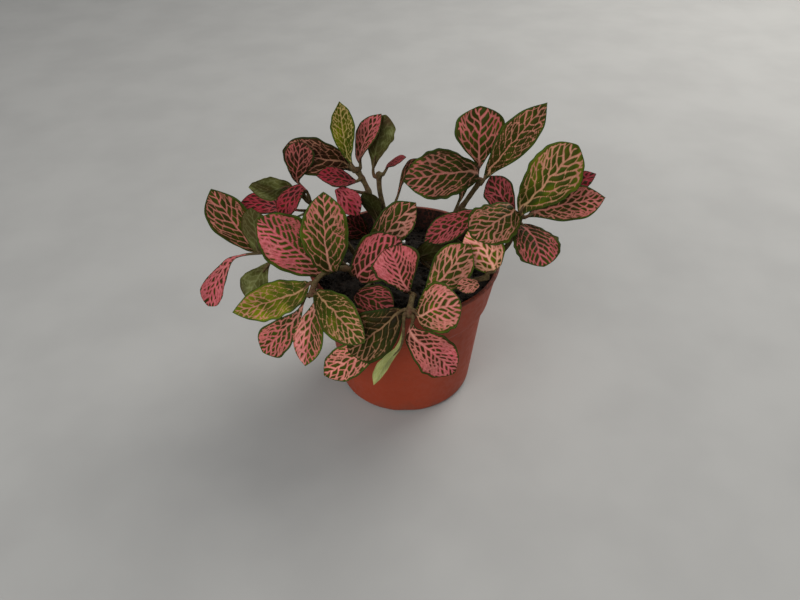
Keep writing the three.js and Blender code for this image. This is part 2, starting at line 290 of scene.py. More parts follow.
def leaf_top():
    """The values vein and rim are distances in mm from the nearest vein and the blade's edge."""
    r = Recipe("leaf_upper_side")
    tint, green, painted_shade = (r.attribute(name) for name in ("tint", "green", "painted_shade"))
    ragged = r.math("MULTIPLY_ADD", r.noise(0.9 * MM, 2, 0.6), 0.34, -0.17)
    gap = r.math("ADD", r.attribute("vein"), ragged)
    rim = r.math("ADD", r.attribute("rim"), r.math("MULTIPLY", ragged, 1.5))
    lamina = r.stained(r.colours(green, ISLAND), r.colours(green, ISLAND_RIM), gap, 0.4, 0.0, 0.5)
    lamina = r.stained(lamina, r.colours(green, PATCH), r.noise(4 * MM), 0.4, 0.7, 0.45)
    lamina = r.stained(lamina, r.colours(green, BORDER), rim, 1.0, 0.45)
    lamina = r.stained(lamina, EDGE, rim, 0.28, 0.06)
    vein = r.stained(r.colours(tint, VEIN), r.colours(tint, VEIN_CORE), gap, -0.1, -0.5)
    vein = r.stained(vein, VEIN_FLUSH, r.noise(2.2 * MM), 0.5, 0.75, 0.25)
    # Painted shade: the leaf's darkening value dims its colour, and a random mottle varies it.
    shade = r.math("MULTIPLY_ADD", painted_shade, -0.8, 1.0)
    shade = r.math("MULTIPLY", shade, r.ramp(r.noise(7 * MM, 1), 0.3, 0.7, 0.86, 1.08))
    colour = r.shaded(r.stained(lamina, vein, gap, 0.08, -0.08), shade)
    pores = r.bump(r.grains(0.32 * MM), 0.03 * MM, 0.5)
    ridges = r.bump(r.ramp(gap, 0.3, -0.3), 0.06 * MM, 0.5, pores)
    return r.finish(colour, r.ramp(r.noise(1.5 * MM), 0.3, 0.7, 0.46, 0.62), ridges, 0.06)


def leaf_under():
    r = Recipe("leaf_underside")
    green, painted_shade = r.attribute("green"), r.attribute("painted_shade")
    vein = r.ramp(r.attribute("vein"), 0.25, -0.2)
    lamina = r.colours(green, UNDERSIDE)
    lamina = r.stained(lamina, r.colours(green, UNDER_PATCH), r.noise(3 * MM), 0.35, 0.7, 0.4)
    colour = r.mix(r.math("MULTIPLY", vein, 0.6), lamina, r.colours(green, UNDER_VEIN))
    # Painted shade: the same darkening value dims the underside.
    colour = r.shaded(colour, r.math("MULTIPLY_ADD", painted_shade, -0.7, 1.0))
    pores = r.bump(r.grains(0.4 * MM), 0.03 * MM, 0.5)
    return r.finish(colour, 0.55, r.bump(vein, 0.12 * MM, 0.6, pores), 0.1)


def stem_skin():
    r = Recipe("stem_skin")
    streaks = r.noise(1.2 * MM, 3, 0.6)
    colour = r.stained((0.062, 0.04, 0.017), (0.115, 0.085, 0.035), streaks, 0.35, 0.65)
    colour = r.stained(colour, (0.12, 0.042, 0.028), r.noise(6 * MM), 0.45, 0.7, 0.6)
    fuzz = r.ramp(r.grains(0.35 * MM), 0.0, 0.5)
    return r.finish(colour, 0.65, r.bump(r.math("ADD", fuzz, streaks), 0.08 * MM, 0.7), 0.12)


def pot_plastic():
    """Clouded, speckled and smudged, with dust round the foot and painted shade in blotches on the rim's top.
    """
    r = Recipe("pot_plastic")
    colour = r.stained((0.305, 0.043, 0.014), (0.345, 0.05, 0.018), r.noise(24 * MM, 3, 0.55), 0.3, 0.7)
    colour = r.stained(colour, (0.22, 0.031, 0.012), r.noise(0.9 * MM), 0.55, 0.75, 0.3)
    colour = r.stained(colour, (0.16, 0.038, 0.018), r.noise(11 * MM, 3, 0.6), 0.6, 0.74, 0.35)
    height = r.node("ShaderNodeSeparateXYZ", {0: r.place}).outputs[2]
    dust = r.ramp(r.noise(5 * MM, 3), 0.4, 0.7, 0.0, 0.5)
    colour = r.mix(r.math("MULTIPLY", r.ramp(height, 10 * MM, 0.0), dust), colour, (0.17, 0.07, 0.045))
    # Painted shade: blotches that darken the top 2 mm of the rim.
    soil = r.ramp(r.noise(3 * MM, 3), 0.3, 0.6, 0.35, 0.85)
    colour = r.mix(r.math("MULTIPLY", r.ramp(height, 70 * MM, 72 * MM), soil), colour, (0.07, 0.022, 0.013))
    grain = r.bump(r.noise(0.35 * MM), 0.02 * MM, 0.6)
    bump = r.bump(r.noise(9 * MM), 0.15 * MM, 0.4, grain)
    return r.finish(colour, r.ramp(r.noise(3 * MM, 3), 0.3, 0.7, 0.5, 0.66), bump, 0.25)


def painted_shade_inner_plastic():
    """Dark with painted shade, and potting mix stuck to it."""
    r = Recipe("pot_inner_side")
    # Painted shade: the inner side's red plastic is kept near black, as the pot's wall shades it.
    colour = r.stained((0.035, 0.012, 0.009), (0.1, 0.028, 0.017), r.noise(8 * MM, 3), 0.35, 0.7)
    stuck = r.ramp(r.noise(1.4 * MM, 4, 0.65), 0.45, 0.6)
    colour = r.mix(stuck, colour, (0.014, 0.01, 0.007))
    return r.finish(colour, 0.7, r.bump(stuck, 0.2 * MM, 0.6), 0.2)


def peat():
    r = Recipe("potting_mix")
    lumps = r.noise(1.6 * MM, 4, 0.65)
    # Near black: the mix's own dark colour, darkened further as painted shade inside the pot.
    colour = r.stained((0.005, 0.004, 0.003), (0.022, 0.014, 0.009), lumps, 0.35, 0.7)
    colour = r.stained(colour, (0.055, 0.034, 0.02), r.noise(0.8 * MM, 2, 0.5, (1, 6, 3)), 0.62, 0.75, 0.5)
    return r.finish(colour, 0.92, r.bump(lumps, 0.5 * MM, 0.9), 0.2)


def perlite():
    r = Recipe("perlite")
    pits = r.grains(0.5 * MM)
    colour = r.stained((0.62, 0.6, 0.55), (0.8, 0.79, 0.75), pits, 0.1, 0.6)
    return r.finish(colour, 0.85, r.bump(pits, 0.15 * MM, 0.8))


def studio_floor():
    r = Recipe("studio_floor")
    colour = r.stained((0.355, 0.35, 0.335), (0.385, 0.38, 0.363), r.noise(60 * MM, 3), 0.3, 0.7)
    return r.finish(colour, 0.85, r.bump(r.noise(2 * MM, 3), 0.05 * MM, 0.4))


LEAF_TOP, LEAF_UNDER, STEM = leaf_top(), leaf_under(), stem_skin()
POT, POT_INSIDE, SOIL, PERLITE = pot_plastic(), painted_shade_inner_plastic(), peat(), perlite()


# ---- the frame's own shapes ----
CAD_SIDES = 8  # points round a section of a CAD leaf or stem


def welded(node):
    """The points of a CAD node, and for each the points it shares an edge with."""
    bm = bmesh.new()
    bm.from_mesh(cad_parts[node].data)
    bmesh.ops.remove_doubles(bm, verts=bm.verts, dist=1e-6)
    points = np.array([v.co for v in bm.verts])
    links = [{e.other_vert(v).index for e in v.link_edges} for v in bm.verts]
    bm.free()
    return points, links


def rings_from(first, links):
    """Lists of points by their number of edges from the first ones."""
    rings, seen, ring = [], set(), set(first)
    while ring:
        rings.append(sorted(ring))
        seen |= ring
        ring = {n for v in ring for n in links[v]} - seen
    return rings


def walked(ring, links):
    """The points of a ring in order round it."""
    inside = set(ring)
    order = [ring[0]]
    while len(order) < len(ring):
        order.append(next(n for n in sorted(links[order[-1]] & inside) if n not in order))
    return order


# Where along a petiole and a blade the CAD sections lie.
PETIOLE_ROWS = np.array([0, 0.35, 0.7, 1])
BLADE_ROWS = np.array([0.05, 0.14, 0.28, 0.44, 0.6, 0.75, 0.88, 0.96])
CROWN = 0.12  # arch of each half of a CAD blade, in half widths
WING = 0.12  # where on the petiole the visible blade starts


def curve(terms, place):
    """Points of a polynomial curve, whose terms start with the highest power."""
    place = np.asarray(place, float)[..., None]
    total = np.zeros(3)
    for term in terms:
        total = total * place + term
    return total


def section(ring, ahead):
    """A CAD section's half way across, midrib's top, edges' rise over it and half width."""
    apart = np.linalg.norm(ring[:, None] - ring[None], axis=-1)
    first, last = np.unravel_index(apart.argmax(), apart.shape)
    across = (ring[last] - ring[first]) / 2
    middles = [(first + quarters * CAD_SIDES // 4) % CAD_SIDES for quarters in (1, 3)]
    depth = [np.linalg.norm(ring[m] - (ring[m - 1] + ring[(m + 1) % CAD_SIDES]) / 2) for m in middles]
    top, under = (ring[middles[i]] for i in np.argsort(depth))
    if np.cross(top - under, across) @ ahead < 0:
        across = -across
    rise = ((ring[first] + ring[last]) / 2 - top) @ unit(top - under)
    return across, top, rise, np.linalg.norm(across)


class Leaf:
    """A CAD leaf read back as curves: its petiole, midrib, width, fold and facing."""

    def __init__(self, node):
        points, links = welded(node)
        ends = [v for v in range(len(points)) if len(links[v]) == CAD_SIDES]
        off_centre = [np.linalg.norm(points[list(links[v])].mean(0) - points[v]) for v in ends]
        foot, tip = (ends[i] for i in np.argsort(off_centre))
        rings = [points[walked(ring, links)] for ring in rings_from([foot], links)[1:-1]]
        petiole = [ring.mean(0) for ring in rings[: len(PETIOLE_ROWS)]]
        self.petiole = np.polyfit(PETIOLE_ROWS, petiole, 3)
        ahead = points[tip] - petiole[-1]
        sections = [section(ring, ahead) for ring in rings[len(PETIOLE_ROWS) :]]
        across, tops, rises, halves = (np.array(part) for part in zip(*sections))
        spine = np.polyfit([0, *BLADE_ROWS, 1], [petiole[-1], *tops, points[tip]], 3)
        self.side = unit(across.sum(0))
        self.lift = float(np.mean(rises / halves)) + CROWN

        wing = curve(self.petiole, np.linspace(WING, 1, 12))
        line = smoothed(np.vstack([wing, curve(spine, np.linspace(0, 1, 60)[1:])]), 8)
        along = lengths_along(line)
        self.length = float(along[-1])
        self.places = np.linspace(0, 1, 101)
        self.line = between(self.places * self.length, along, line)
        self.ways = unit(np.gradient(self.line, axis=0))
        self.base = along[len(wing) - 1] / self.length  # where the CAD blade starts

        places = self.base + (1 - self.base) * BLADE_ROWS
        terms = np.stack([np.log(places), np.log(1 - places), np.ones(len(places))], -1)
        (self.rise, self.fall, size), *_ = np.linalg.lstsq(terms, np.log(halves), rcond=None)
        widest = self.rise / (self.rise + self.fall)
        self.peak = widest**self.rise * (1 - widest) ** self.fall
        self.half_width = math.exp(size) * self.peak

    def outline(self, place):
        """Half width of the blade, in the largest one."""
        place = np.clip(place, 0, 1)
        return place**self.rise * (1 - place) ** self.fall / self.peak

    def point(self, place):
        return between(place, self.places, self.line)

    def up(self, place):
        """The way the blade's upper side faces."""
        return unit(np.cross(self.side, between(place, self.places, self.ways)))


# ---- veins ----
# Sizes of the net on a leaf of the usual half width, and in proportion on others.
USUAL_HALF_WIDTH = 10 * MM
SMALL_VEIN = 0.15 * MM  # half width of the veins between the islands
SECONDARY, SECONDARY_TAPER = 0.29, 0.15  # half width in mm at the midrib, and how much less at the edge
MIDRIB, MIDRIB_TAPER = 0.55, 0.4  # the same of the midrib, at its base and its tip
VEIN_END, MIDRIB_END = 0.5 * MM, 0.3 * MM  # taken off their half widths where they fade out
ROUNDING = 0.1 * MM  # of the corners between veins
SWAY, SWAY_LENGTH = 0.36 * MM, 6.5 * MM  # how much the whole net is bent, and over what length

LEAST_PAIRS, PAIR_LENGTH = 4, 10 * MM  # pairs of secondary veins, and one more for this length
SPREAD = 0.9  # share of the midrib that the secondary veins leave from
FIRST_VEIN = 0.01  # where on the midrib the first of them leaves
LEAN, MORE_LEAN = 0.7, 0.4  # its way tipward for each step outward, and what the leaf's tip adds
BEND = 0.75  # its tipward curve, in half widths at the edge
STAGGER = 0.25  # of a spacing, by which each side's veins are moved, opposite ways
STRETCH = 0.58  # lengths along the veins count this much, so the islands lie along them
SLANT = 0.5  # how square the small veins cross the secondary ones, 1 at right angles
FORK = 0.42  # from this share of the half width on, two islands lie side by side
LEAST_ISLAND = 0.14  # length of the outermost islands, in half widths
MARGIN = 0.085  # solid green border, in half widths
MARGIN_STEP = 0.05  # between the seeds that close the islands off from it, in leaf lengths
MARGIN_STRIP = 99  # stands for the number of their strip between two veins
FAR = 1.0  # more than any distance on a leaf


class Veins:
    """The net of veins of a blade. In its flat plan x runs along the midrib and y off it."""

    def __init__(self, leaf, look, seed):
        self.leaf, self.look = leaf, look
        self.rng = np.random.default_rng(seed)
        self.length, self.half = leaf.length, leaf.half_width
        self.pairs = round((LEAST_PAIRS + self.length / PAIR_LENGTH) * look.fine)
        self.scale = self.half / USUAL_HALF_WIDTH
        turn = math.atan2(1, LEAN + BEND)
        spacing = SPREAD * self.length / self.pairs
        self.flat = np.array([[spacing * math.sin(turn), SLANT * STRETCH * spacing * math.cos(turn)],
                              [0, STRETCH / math.sin(turn)]])
        self.sway = [ripples(self.rng, SWAY_LENGTH * self.scale) for _ in range(2)]
        self.seeds = np.array([seed for hand in (-1, 1) for seed in self.islands(hand)])

    def start(self, y):
        """The x of a point on the first secondary vein."""
        return FIRST_VEIN * self.length + LEAN * y + BEND * y * y / self.half

    def index(self, x, y):
        """Number of the secondary vein through a point, whole on the veins."""
        return (x - self.start(y)) / (SPREAD * self.length + MORE_LEAN * y) * self.pairs

    def place(self, index, y):
        """The x of a point on a secondary vein, the inverse of index."""
        return index / self.pairs * (SPREAD * self.length + MORE_LEAN * y) + self.start(y)

    def islands(self, hand):
        """Seeds that the islands of one side grow from: (vein index, y, hand, strip)."""
        rng, half = self.rng, self.half
        for strip in range(-6, self.pairs + 3):
            y = half * rng.uniform(0.06, 0.2)
            step = half * rng.uniform(0.24, 0.36) / self.look.fine
            fork = half * (FORK + rng.uniform(-0.12, 0.12))
            while y < half:
                columns = 1 if y < fork else 2
                for column in range(columns):
                    index = strip + (column + 0.5) / columns + rng.uniform(-0.3, 0.3) / columns
                    off = y + step * (rng.uniform(-0.15, 0.15) + 0.45 * (column % 2))
                    x = self.place(index + STAGGER * hand, off)
                    inner = half * (self.leaf.outline(x / self.length) - 1.7 * MARGIN)
                    if 0 < x < self.length and off < inner:
                        yield index, off, hand, strip
                y += step
                step = max(step * rng.uniform(0.66, 0.9), LEAST_ISLAND * half)
        for place in np.arange(0.03, 0.98, MARGIN_STEP):
            place += rng.uniform(-0.012, 0.012)
            y = half * (self.leaf.outline(place) - 0.2 * MARGIN)
            yield self.index(place * self.length, y) - STAGGER * hand, y, hand, MARGIN_STRIP

    def gap(self, place, across):
        """Distance to the edge of the nearest vein, below 0 inside it."""
        width = self.look.width * (0.72 + 0.5 * smooth(0.1, 0.8, place))
        points = np.stack([place * self.length, across * self.half * self.leaf.outline(place)], -1)
        x, y = points.T + SWAY * self.scale * np.stack([sway(points) for sway in self.sway])
        hand, y = np.sign(y), np.abs(y)
        fading = smooth(2 * MARGIN, 0.9 * MARGIN, 1 - np.abs(across)) + smooth(0.955, 0.99, place)
        fading *= VEIN_END * self.scale
        midrib = y - (MIDRIB - MIDRIB_TAPER * place) * MM * self.scale * self.look.width**0.5
        parts = [self.network(x, y, hand, width) + fading, self.secondary(x, y, hand, width) + fading,
                 midrib + MIDRIB_END * self.scale * smooth(0.93, 0.99, place)]
        return soft_least(np.stack(parts), ROUNDING * self.scale)

    def network(self, x, y, hand, width):
        """Distance to the small veins, which run midway between the seeds of two islands."""
        seeds = self.seeds
        index = self.index(x, y) - STAGGER * hand
        middles = seeds[:, :2] @ self.flat
        apart = np.linalg.norm((np.stack([index, y], -1) @ self.flat)[:, None] - middles, axis=-1)
        margin = seeds[:, 3] == MARGIN_STRIP
        usable = (margin | (seeds[:, 3] == np.floor(index)[:, None])) & (seeds[:, 2] == hand[:, None])
        apart = np.where(usable, apart, FAR)
        rows = np.arange(len(apart))
        nearest = apart.argmin(1)
        ways = middles[:, None] - middles
        gaps = np.linalg.norm(ways, axis=-1) + 1e-9
        squeeze = np.linalg.norm(ways / gaps[..., None] * (1, STRETCH), axis=-1) + 1e-9
        border = (apart**2 - apart[rows, nearest][:, None] ** 2) / (2 * gaps * squeeze)[nearest]
        border = np.where(usable, border - SMALL_VEIN * self.scale * width[:, None], FAR)
        border[rows, nearest] = FAR
        return soft_least(border.T, ROUNDING * self.scale)

    def secondary(self, x, y, hand, width):
        """Distance to the veins that leave the midrib."""
        vein = np.round(self.index(x, y) - STAGGER * hand)
        lean = LEAN + MORE_LEAN * vein / self.pairs + 2 * BEND * y / self.half
        distance = np.abs(x - self.place(vein + STAGGER * hand, y)) / np.hypot(1, lean)
        outward = y / np.maximum(self.half * self.leaf.outline(x / self.length), 1e-6)
        return distance - (SECONDARY - SECONDARY_TAPER * np.clip(outward, 0, 1)) * MM * self.scale * width


def soft_least(values, reach):
    """The least along the first axis, rounded where two values are close."""
    least = values.min(0)
    return least - reach * np.log(np.exp((least - values) / reach).sum(0))


# ---- leaves ----
ROWS = 84  # points along a blade
TOP_COLUMNS, UNDER_COLUMNS = 61, 25  # points across its upper side and its underside
UPPER, UNDER, PETIOLE = 0, 1, 2  # a leaf's material slots
VALUES = ("vein", "rim", "tint", "green", "painted_shade")  # what its materials read at each point
THICKNESS, EDGE_THICKNESS = 0.36 * MM, 0.22 * MM
SCALLOPS = 0.034  # unevenness of the outline, in half widths
PUFF, PUFF_REACH = 0.42 * MM, 0.5 * MM  # how high the islands stand, and how soon beside a vein
UNDER_PUCKER = 0.08 * MM  # distance from a vein that gives the whole underside its puff
TIP_FLOOD = 0.07  # in mm, what the tip adds to the flood
PETIOLE_RADIUS = 0.8 * MM
TUBE_SIDES, TUBE_ROWS = 14, 26
WING_ROWS = 8  # of those, so many lie before the blade
INTO_STEM = 1.1 * MM  # how far inside the stem a petiole starts
FIRST_SEED = 11  # of the leaves' random numbers
# A leaf's UV map has its upper side on the left, its underside on the right, its petiole on top.
UV_MARGIN = 0.01
BLADE_UV = (0.48, 0.88)  # width and length
PETIOLE_UV = (0.97, 0.91, 0.99)  # right end, lower and upper edge


@dataclass
class Look:
    """How one leaf is coloured and veined."""
    width: float  # of the veins
    tint: float = 0.0  # -1 crimson veins, 0 salmon, 1 pale peach
    green: float = 0.0  # -1 maroon islands, 0 dark green, 1 yellow green
    painted_shade: float = 0.0  # painted shade, up to 1; below 0 painted light, paler than usual
    fine: float = 1.0  # more islands and veins above 1, fewer below
    flood: float = 0.0  # how far, in mm, the veins' colour spreads into the islands
    half_flood: float = 0.0  # the same, on the right half (above 0) or the left (below 0)

    def tones(self, leaf, place, across, rng):
        """Values for the materials, browner at the base and pinker to the tip, with painted shade that is
        deeper at the base.
        """
        patches = ripples(rng, 9 * MM)
        flat = np.stack([place * leaf.length, across * leaf.half_width], -1)
        drift = patches(flat)
        base = smooth(0.5, 0.0, place)
        tip = smooth(0.3, 0.9, place)
        # The browner base is the leaf's own tone; its extra darkening at the base is painted shade.
        return {"tint": self.tint + 0.3 * base - 0.12 * tip + 0.08 * drift,
                "green": self.green - 0.45 * base - 0.18 * drift,
                "painted_shade": np.clip(self.painted_shade + 0.4 * base - 0.05 * tip + 0.08 * drift, -0.6, 1)}


# The looks of the leaves on each stem, in the order of their numbers. The fourth value of each is its painted
# shade, below 0 painted light.
LOOKS = {
    "back_left": [
        Look(0.95, 0.95, 0.65, -0.25, fine=1.15), Look(0.95, -0.25, -0.3, 0.15, flood=0.15),
        Look(0.75, 0.2, -0.55, 0.35, flood=0.03), Look(0.95, -0.85, -0.85, 0.35, flood=0.15),
        Look(1.1, -0.75, -0.6, 0.05, flood=0.35), Look(0.8, -0.6, -0.5, 0.7),
        Look(0.9, 0.1, 0.05, 0.15, half_flood=0.25),
    ],
    "back": [
        Look(0.8, 0.5), Look(1.0, -0.6, -0.5, 0.4, flood=0.1),
        Look(0.9, 0, -0.3, 0.5), Look(0.7, 0.3, 0, 0.75),
    ],
    "left_back": [
        Look(0.95, -0.85, -0.8, 0.35, flood=0.2), Look(1.0, 0.3, 0.18),
        Look(0.9, -0.85, -0.7, 0.3, flood=0.2), Look(0.75, -0.15, -0.6, 0.4, fine=1.1, flood=0.02),
        Look(0.9, 0.1, 0, 0.3),
    ],
    "left": [
        Look(0.95, 0, 0.1, 0.15, fine=1.1), Look(0.9, 0.3, 0, 0.12),
        Look(1.05, -0.35, -0.2, 0.15, fine=1.2, flood=0.3), Look(1.0, 0.2, 0.15, 0.05),
    ],
    "front_left": [
        Look(0.95, -0.3, 0.25, 0.15, fine=1.35, half_flood=-0.17), Look(1.0, 0, 0.35, 0.1, fine=1.1),
        Look(0.75, 0.3, 0.85, fine=1.1), Look(0.8, 0.35, 0.4, 0.05, fine=1.1),
        Look(1.05, -0.15, 0.15, fine=1.2, flood=0.1),
        Look(1.0, -0.1, 0.4, -0.15, flood=0.02, half_flood=0.35),
        Look(0.95, -0.4, -0.3, 0.15, fine=1.2, flood=0.12), Look(0.9, -0.35, -0.35, 0.3, fine=1.1),
    ],
    "front": [
        Look(1.1, -0.05, 0.35, -0.08, fine=1.1, flood=0.08),
        Look(1.0, -0.25, -0.3, -0.1, fine=1.4, flood=0.15),
        Look(0.65, 0.4, 0, 0.5), Look(0.9, 0.8, 0.85, -0.35),
        Look(1.2, 0, 0.1, -0.3, flood=0.12), Look(1.0, -0.3, -0.4, fine=1.5, flood=0.02, half_flood=-0.14),
    ],
    "right_front": [
        Look(1.05, 0.15, 0.3, fine=1.1, flood=0.05), Look(1.6, 0.1, 0.6, -0.6, flood=0.15),
        Look(1.0, 0, 0.1, flood=0.15), Look(0.7, 0.2, -0.05, 0.6),
    ],
    "right": [
        Look(0.95, 0.3, 0.5, fine=0.95), Look(1.0, -0.1, 0, 0.15, fine=1.1, flood=0.08),
        Look(0.9, -0.3, 0.1, 0.25, fine=1.1), Look(0.95, 0.15, 0.2, 0.25, fine=1.1),
        Look(1.0, -0.8, -0.75, 0.4, flood=0.2), Look(1.0, -0.5, -0.4, 0.4, flood=0.1),
    ],
    "right_back": [
        Look(0.9, 0, 0.1, 0.45, fine=1.1), Look(0.95, -0.15, 0.15, 0.1, flood=0.02),
        Look(0.85, 0.15, 0.1, fine=1.1), Look(1.0, -0.5, -0.3, 0.2, fine=1.2, flood=0.1),
        Look(0.9, 0.1, 0, 0.3),
    ],
}


class Blade:
    """The visible surface of a leaf blade, a little livelier than its CAD leaf."""

    def __init__(self, leaf, rng):
        self.leaf = leaf
        self.scale = leaf.half_width / USUAL_HALF_WIDTH
        self.scallops = ripples(rng, 0.16, 5)
        self.waves = ripples(rng, 0.55, 5)
        self.ripple_height = rng.uniform(0.7, 1.1) * MM * self.scale
        self.swerve = rng.uniform(0.03, 0.1) * rng.choice([-1, 1])

    def half(self, place, across):
        """Half width at a place, with a wider base and a sharper tip than the CAD leaf has."""
        wave = self.scallops(np.stack([place, np.sign(across) * 5], -1))
        point = 1 - 0.35 * np.exp((place - 1) / 0.06)
        base = 1 + 0.7 * np.exp(-place / 0.09)
        return self.leaf.half_width * self.leaf.outline(place) * base * point * (1 + SCALLOPS * wave)

    def surface(self, place, across, gap):
        """Upper surface. gap is the distance from the sunken veins."""
        leaf = self.leaf
        half = self.half(place, across)
        fold = np.sqrt(across**2 + 0.015) - math.sqrt(0.015)  # V-shaped, rounded at the midrib
        rise = half * (leaf.lift * fold - CROWN * across**2)
        edge_wave = self.waves(np.stack([place, np.sign(across) * 3], -1))
        rise += self.ripple_height * edge_wave * np.abs(across) ** 1.5 * np.sqrt(leaf.outline(place))
        puff = PUFF * self.scale * (1 - np.exp(-np.maximum(gap, 0) / (PUFF_REACH * self.scale)))
        rise += puff * smooth(0, 0.12, 1 - np.abs(across)) * leaf.outline(place)
        off = half * across + self.swerve * leaf.half_width * np.sin(np.pi * place) ** 2
        return leaf.point(place) + leaf.side * off[:, None] + leaf.up(place) * rise[:, None]

    def thickness(self, place, across):
        """Of the blade with its midrib below, and none at both ends."""
        lamina = EDGE_THICKNESS + (THICKNESS - EDGE_THICKNESS) * (1 - across**4)
        rib_width = (0.85 - 0.45 * place) * MM * self.scale
        off = across * self.leaf.half_width * self.leaf.outline(place)
        rib = (0.62 - 0.5 * place) * MM * self.scale * np.exp(-((off / rib_width) ** 2))
        return (lamina + rib) * np.minimum(1, self.leaf.outline(place) * 5)


class Patchwork:
    """A mesh made patch by patch, each with values and UVs for its points and a slot."""

    def __init__(self):
        self.points, self.uvs, self.values, self.faces, self.slots = [], [], [], [], []

    def add(self, points, uvs, values, faces, slot):
        """Adds a patch, whose faces count from its own first point."""
        start = sum(len(part) for part in self.points)
        self.points.append(points)
        self.uvs.append(uvs)
        self.values.append(values)
        self.join([[start + i for i in face] for face in faces], slot)

    def join(self, faces, slot):
        """Adds faces between points that are there."""
        self.faces.extend(faces)
        self.slots.extend([slot] * len(faces))

    def piece(self, name, materials):
        values = {key: np.concatenate([part[key] for part in self.values]) for key in VALUES}
        uv = np.vstack(self.uvs)[np.concatenate(self.faces)]
        return make_piece(name, np.vstack(self.points), self.faces, materials, self.slots, values, uv)


def ease_ends(count):
    """Places from 0 to 1, closer together at both ends."""
    even = np.linspace(0, 1, count)
    return 0.45 * even + 0.55 * (1 - np.cos(np.pi * even)) / 2


def tube(path, radii):
    """Rings of points round a path, turning as little as possible."""
    ahead = unit(np.gradient(path, axis=0))
    across = unit(np.cross(ahead[0], [0.3, 0.2, 0.9]))
    rings = []
    angles = round_angles(TUBE_SIDES)
    for middle, way, radius in zip(path, ahead, radii):
        across = unit(across - way * (across @ way))
        third = np.cross(way, across)
        rings.append(middle + radius * (np.outer(np.cos(angles), across) + np.outer(np.sin(angles), third)))
    return np.array(rings)


def petiole_path(leaf):
    """Middles and radii of the tube from inside the stem to just under the midrib."""
    along = np.linspace(0, WING, WING_ROWS)
    path = curve(leaf.petiole, along)
    start = path[0] - unit(leaf.petiole[-2]) * INTO_STEM  # straight on from the curve's start
    end = leaf.base + 0.14
    under = np.linspace(0, end, TUBE_ROWS - WING_ROWS)[1:]
    sunk = PETIOLE_RADIUS * 0.9 * smooth(0, 0.6 * end, under)
    path = np.vstack([start, path, leaf.point(under) - leaf.up(under) * sunk[:, None]])
    flare = PETIOLE_RADIUS * (1 + 0.35 * np.exp(-along * 9))
    radii = np.concatenate([[flare[0]], flare, PETIOLE_RADIUS * (1.02 - under / end) ** 0.5])
    return path, radii


def add_side(mesh, blade, veins, under, rng):
    leaf, look = blade.leaf, veins.look
    columns = UNDER_COLUMNS if under else TOP_COLUMNS
    grid = np.meshgrid(ease_ends(ROWS), np.linspace(-1, 1, columns), indexing="ij")
    place, across = (part.ravel() for part in grid)
    gap = veins.gap(place, across)
    flood = look.flood
    if under:
        skin = blade.surface(place, across, np.full(len(gap), UNDER_PUCKER))
        skin -= leaf.up(place) * blade.thickness(place, across)[:, None]
    else:
        skin = blade.surface(place, across, gap)
        half_flood = abs(look.half_flood) * smooth(-0.1, 0.25, across * np.sign(look.half_flood))
        flood = flood + half_flood + TIP_FLOOD * smooth(0.35, 0.85, place)
    rim = (1 - np.abs(across)) * leaf.half_width / MM * leaf.outline(place)
    values = {"vein": gap / MM - flood, "rim": rim, **look.tones(leaf, place, across, rng)}
    width, length = BLADE_UV
    uvs = np.stack([UV_MARGIN + width * (across + 1) / 2 + 0.5 * under, UV_MARGIN + length * place], -1)
    mesh.add(skin, uvs, values, grid_faces(ROWS, columns, flip=not under), UNDER if under else UPPER)


def edge_faces():
    """Quads that join a blade's upper side to its underside."""
    faces = []
    for row in range(ROWS - 1):
        left, left_under = row * TOP_COLUMNS, ROWS * TOP_COLUMNS + row * UNDER_COLUMNS
        right, right_under = left + TOP_COLUMNS - 1, left_under + UNDER_COLUMNS - 1
        faces.append([left, left + TOP_COLUMNS, left_under + UNDER_COLUMNS, left_under])
        faces.append([right, right_under, right_under + UNDER_COLUMNS, right + TOP_COLUMNS])
    return faces


def add_petiole(mesh, leaf):
    path, radii = petiole_path(leaf)
    rows = len(path)
    right, low, high = PETIOLE_UV
    grid = np.meshgrid(np.linspace(UV_MARGIN, right, TUBE_SIDES), np.linspace(low, high, rows))
    uvs = np.stack(grid, -1).reshape(-1, 2)
    values = dict.fromkeys(VALUES, np.zeros(rows * TUBE_SIDES))
    faces = grid_faces(rows, TUBE_SIDES, closed=True, flip=True)
    mesh.add(tube(path, radii).reshape(-1, 3), uvs, values, faces, PETIOLE)


def make_leaf(node, seed):
    rng = np.random.default_rng(seed)
    leaf = Leaf(node)
    blade = Blade(leaf, rng)
    stem, number = node.removeprefix("leaf_").rsplit("_", 1)
    veins = Veins(leaf, LOOKS[stem][int(number) - 1], rng.integers(1 << 30))
    drift_seed = rng.integers(1 << 30)
    mesh = Patchwork()
    for under in (False, True):
        add_side(mesh, blade, veins, under, np.random.default_rng(drift_seed))
    mesh.join(edge_faces(), UNDER)
    add_petiole(mesh, leaf)
    piece = mesh.piece(node + "_look", [LEAF_TOP, LEAF_UNDER, STEM])
    weld(piece)
    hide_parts(node)
    return leaf


def weld(piece):
    """Merges the points that meet at a blade's two ends."""
    bm = bmesh.new()
    bm.from_mesh(piece.data)
    bmesh.ops.remove_doubles(bm, verts=bm.verts, dist=2e-6)
    bmesh.ops.dissolve_degenerate(bm, edges=bm.edges, dist=1e-7)
    bm.to_mesh(piece.data)
    bm.free()


# ---- stems ----
STEM_RADIUS = 1.2 * MM
STEM_STEP = 0.7 * MM  # between two rings of points
SWELLING, MOST_SWELLING = 0.3 * MM, 0.42 * MM  # of a stem at each leaf's joint, and at several
NODE_REACH = 1.3 * MM  # how far along the stem a joint swells it


